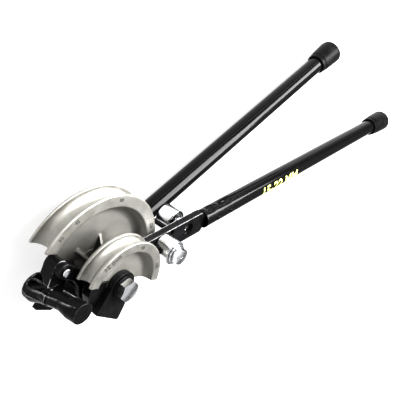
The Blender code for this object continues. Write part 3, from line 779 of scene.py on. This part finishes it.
def build_hardware():
    bolt = hex_block("pivot_bolt_hex", 24.0, 101.2, 110.0, (0, 0), 30.0)
    join(bolt, ring_cap("flange", 11.6, 100.3, 101.6),
         ring_cap("shank", 8.0, 0.0, 101.0, chamfer=1.0))
    show(bevelled(bolt, 0.25, 2), "zinc", "frame", "pivot_bolt")
    nut = hex_block("pivot_nut_hex", 24.0, 7.0, 23.0, (0, 0), 30.0, PIVOT_HOLE)
    show(bevelled(nut, 0.25, 2), "zinc", "frame", "pivot_nut")
    washer = ring_piece("washer_front", PIVOT_HOLE, 15.0, 98.3, 100.0)
    show(washer, "plate", "frame", "pivot_front_washer")
    washer = ring_piece("washer_rear", PIVOT_HOLE, 15.0, 23.3, 26.7)
    show(washer, "zinc", "frame", "pivot_rear_washer")
    for name, node, z0, z1 in (("thrust_ring_lower", "thrust_washer_lower", 57.3, 61.7),
                               ("thrust_ring_upper", "thrust_washer_upper", 72.3, 76.7)):
        show(ring_piece(name, PIVOT_HOLE, HUB_RADIUS, z0, z1), "nylon", "frame", node)
    show(ring_piece("bush_ring", PIVOT_HOLE, 11.0, *BLADE_Z), "bronze", "lever", "pivot_bush")


def ring_cap(name, radius, z0, z1, centre=(0.0, 0.0), chamfer=0.5, steps=72):
    """A plain turned bar with broken edges."""
    outline = [(0.001, z0, 0), (radius, z0, chamfer), (radius, z1, chamfer), (0.001, z1, 0)]
    return turned(name, rounded(outline, 0, 3), steps, centre, closed=False)


def build_front_roller():
    centre = along_lever(ROLLER_15_AT)
    outline = [(15.7, 73, 1.2), (15.7, 95, 1.2), (8.3, 95, 0.5), (8.3, 73, 0.5)]
    roller = turned("front_roller", rounded(outline, 0, 4), 96, centre)
    show(roller, "zinc", "roller_15_wheel", "roller_15")
    bush = ring_piece("front_bush", 6.3, 8.0, 73, 95, centre, 0.3)
    show(bush, "bronze", "roller_15_wheel", "roller_15_bush")
    washer = ring_piece("front_washer", 6.3, 13.0, 95.4, 97.8, centre, 0.7)
    show(washer, "zinc", "lever", "roller_15_washer")
    bolt = hex_block("front_bolt", 19.0, 99.0, 105.7, centre, LEVER_ANGLE + 30.0)
    join(bolt, ring_cap("flange", 10.6, 98.2, 99.4, centre), ring_cap("shank", 6.0, 63.0, 99.0, centre))
    cut(bolt, ring_cap("dimple", 1.8, 104.7, 107.0, centre, 0.2))
    show(bevelled(bolt, 0.25, 2), "zinc", "lever", "roller_15_bolt")


def build_rear_roller():
    centre = along_lever(ROLLER_22_AT)
    outline = [(15.5, 28.4, 1.2), (15.5, 50.4, 1.2), (12.0, 50.4, 0.5), (12.0, 48.4, 0.4), (8.3, 48.4, 0),
               (8.3, 34.2, 0), (12.0, 34.2, 0.4), (12.0, 28.4, 0.5)]
    roller = turned("rear_roller", rounded(outline, 0, 4), 96, centre)
    show(roller, "zinc", "roller_22_wheel", "roller_22")
    bush = ring_piece("rear_bush", 6.3, 8.0, 34.2, 48.0, centre, 0.3)
    show(bush, "bronze", "roller_22_wheel", "roller_22_bush")
    axle = [(3.3, 33.9, 0.3), (6.0, 33.9, 0.5), (6.0, 50.8, 0), (8.0, 50.8, 0.5), (8.0, 58.6, 0.4),
            (12.0, 58.6, 0.6), (12.0, 61.7, 0.4), (8.7, 61.7, 0), (8.7, 67.0, 1.0), (3.3, 67.0, 0.4)]
    show(turned("rear_axle", rounded(axle, 0, 4), 72, centre), "zinc", "lever", "roller_22_axle")
    show(ring_piece("rear_washer", 3.3, 10.5, 32.0, 33.6, centre), "zinc", "lever", "roller_22_washer")
    screw = join(ring_cap("rear_screw", 6.5, 28.8, 31.7, centre, 0.6),
                 ring_cap("shank", 3.0, 31.0, 60.0, centre))
    cut(screw, extruded("socket", arc(*centre, 3.0, 0, 360, 6)[:-1], 28.0, 30.6))
    show(bevelled(screw, 0.2, 2), "zinc", "lever", "roller_22_screw")


def build_pins():
    guide = ring_cap("guide_pin", 3.2, 40.0, 67.5, along_lever(*GUIDE_PIN_AT), 0.8)
    show(guide, "forged", "lever", "lever_guide_pin")
    pin = join(ring_cap("hook_hinge_pin", 4.0, 43.6, 69.6, HOOK_PIN_AT, 0.4),
               ring_cap("head", 4.9, 69.3, 72.5, HOOK_PIN_AT, 0.8))
    show(bevelled(pin, 0.2, 2), "zinc", "frame", "hook_pin")
    stop = join(hex_block("hook_stop", 9.0, 50.0, 61.0, HOOK_STOP_AT, 0.0),
                ring_cap("shank", 3.0, 60.0, 66.0, HOOK_STOP_AT))
    show(bevelled(stop, 0.2, 2), "cast", "frame", "hook_stop_screw")


def cross_pin(name, along, where, roll, body, node):
    """A domed rivet through a handle, painted over with it."""
    rivet = ring_cap(name, 3.0, -13.5, 13.5, (0, 0), 0.9, 32)
    rivet.data.transform(Matrix.Translation((along * MM, 0, 0)) @ Matrix.Rotation(math.radians(roll), 4, "X"))
    show(on_handle(rivet, *where), "gloss", body, node)


def build_rivets():
    for number, offset in ((1, 22.0), (2, 50.0)):
        cross_pin(f"lever_rivet_{number}", LEVER_TUBE[0] + offset, LEVER_AXIS, 0.0,
                  "lever", f"lever_handle_rivet_{number}")
        cross_pin(f"fixed_rivet_{number}", FIXED_TUBE[0] + offset, FIXED_AXIS, 90.0,
                  "frame", f"fixed_handle_rivet_{number}")


def paint_hidden_nodes():
    """CAD nodes that keep their own shape, all of them pins inside the casting."""
    for name in ("former_22_dowel_1", "former_22_dowel_2", "former_15_dowel_1", "former_15_dowel_2",
                 "front_leg_dowel_1", "front_leg_dowel_2"):
        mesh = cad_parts[name].data
        mesh.materials.clear()
        mesh.materials.append(MATERIALS["zinc"])


# ---- stage ----
def build_stage():
    bm = bmesh.new()
    bmesh.ops.create_grid(bm, x_segments=24, y_segments=24, size=8000.0)
    floor = mesh_object("floor", bm)
    s = Surface("floor_paper", roughness=0.75)
    tone = s.ramp(s.noise(3.0, 2.0), (0.3, (0.24, 0.24, 0.24)), (0.7, (0.26, 0.26, 0.26)))
    s.shader.inputs["Emission Color"].default_value = (1.0, 1.0, 1.0, 1.0)
    s.shader.inputs["Emission Strength"].default_value = 0.8
    floor.data.materials.append(s.done(tone, None, s.bump(s.noise(600.0, 2.0), 0.03, 0.0003)))
    world = bpy.data.worlds.new("studio")
    bpy.context.scene.world = world
    world.use_nodes = True
    tree = world.node_tree
    coord = tree.nodes.new("ShaderNodeTexCoord")
    split = tree.nodes.new("ShaderNodeSeparateXYZ")
    ramp = tree.nodes.new("ShaderNodeValToRGB")
    tree.links.new(coord.outputs["Generated"], split.inputs["Vector"])
    tree.links.new(split.outputs["Z"], ramp.inputs["Fac"])
    stops = ((0.0, 0.95), (0.18, 0.9), (0.32, 0.2), (0.45, 0.3), (0.6, 0.9))
    band = ramp.color_ramp
    while len(band.elements) < len(stops):
        band.elements.new(0.5)
    for element, (at, value) in zip(band.elements, stops):
        element.position = at
        element.color = (value, value, value, 1.0)
    background = tree.nodes["Background"]
    tree.links.new(ramp.outputs["Color"], background.inputs["Color"])
    background.inputs["Strength"].default_value = 1.0


def lamp(name, at, target, along, length, width, power):
    """A softbox whose long side lies as near as it can to the direction along."""
    data = bpy.data.lights.new(name, "AREA")
    data.shape = "RECTANGLE"
    data.size = width
    data.size_y = length
    data.energy = power
    obj = bpy.data.objects.new(name, data)
    bpy.context.scene.collection.objects.link(obj)
    back = (Vector(at) - Vector(target)).normalized()
    side = Vector(along).cross(back).normalized()
    up = back.cross(side)
    obj.matrix_world = Matrix.Translation(at) @ Matrix((side, up, back)).transposed().to_4x4()


def build_lights():
    lamp("softbox", (0.42, 0.80, 1.15), (0.2, 0.15, 0.0), (0.677, -0.7355, 0.0), 1.25, 0.5, 62.0)
    lamp("handle_box", (0.74, 1.09, 0.92), (0.4, 0.3, 0.0), (0.677, -0.7355, 0.0), 0.6, 0.5, 30.0)
    lamp("far_strip", (0.09, 1.42, 0.38), (0.2, 0.15, 0.0), (1.0, 0.2, 0.0), 1.6, 0.05, 5.0)
    lamp("left_strip", (-0.9, 1.0, 0.9), (0.1, 0.1, 0.05), (0.0, 0.0, 1.0), 0.9, 0.08, 5.0)


def set_camera():
    data = bpy.data.cameras.new("camera")
    camera = bpy.data.objects.new("camera", data)
    bpy.context.scene.collection.objects.link(camera)
    right = CAMERA_RIGHT.normalized()
    back = right.cross(CAMERA_UP).normalized()
    up = back.cross(right)
    camera.matrix_world = Matrix.Translation(CAMERA_AT) @ Matrix((right, up, back)).transposed().to_4x4()
    data.sensor_width = 36.0
    data.lens = CAMERA_LENS
    data.clip_start = 0.01
    data.clip_end = 40.0
    bpy.context.scene.camera = camera
    bpy.context.scene.view_settings.view_transform = "Standard"
    bpy.context.scene.view_settings.gamma = 0.78


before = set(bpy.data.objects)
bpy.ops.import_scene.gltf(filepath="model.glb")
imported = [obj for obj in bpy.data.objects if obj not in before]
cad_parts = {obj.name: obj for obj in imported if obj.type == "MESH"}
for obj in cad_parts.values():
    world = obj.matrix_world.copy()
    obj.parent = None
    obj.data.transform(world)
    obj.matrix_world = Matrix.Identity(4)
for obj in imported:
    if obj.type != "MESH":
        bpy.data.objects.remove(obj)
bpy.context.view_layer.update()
build_formers()
build_frame()
build_hook()
build_handles()
build_blade()
build_hardware()
build_front_roller()
build_rear_roller()
build_pins()
build_rivets()
paint_hidden_nodes()
build_stage()
build_lights()
set_camera()
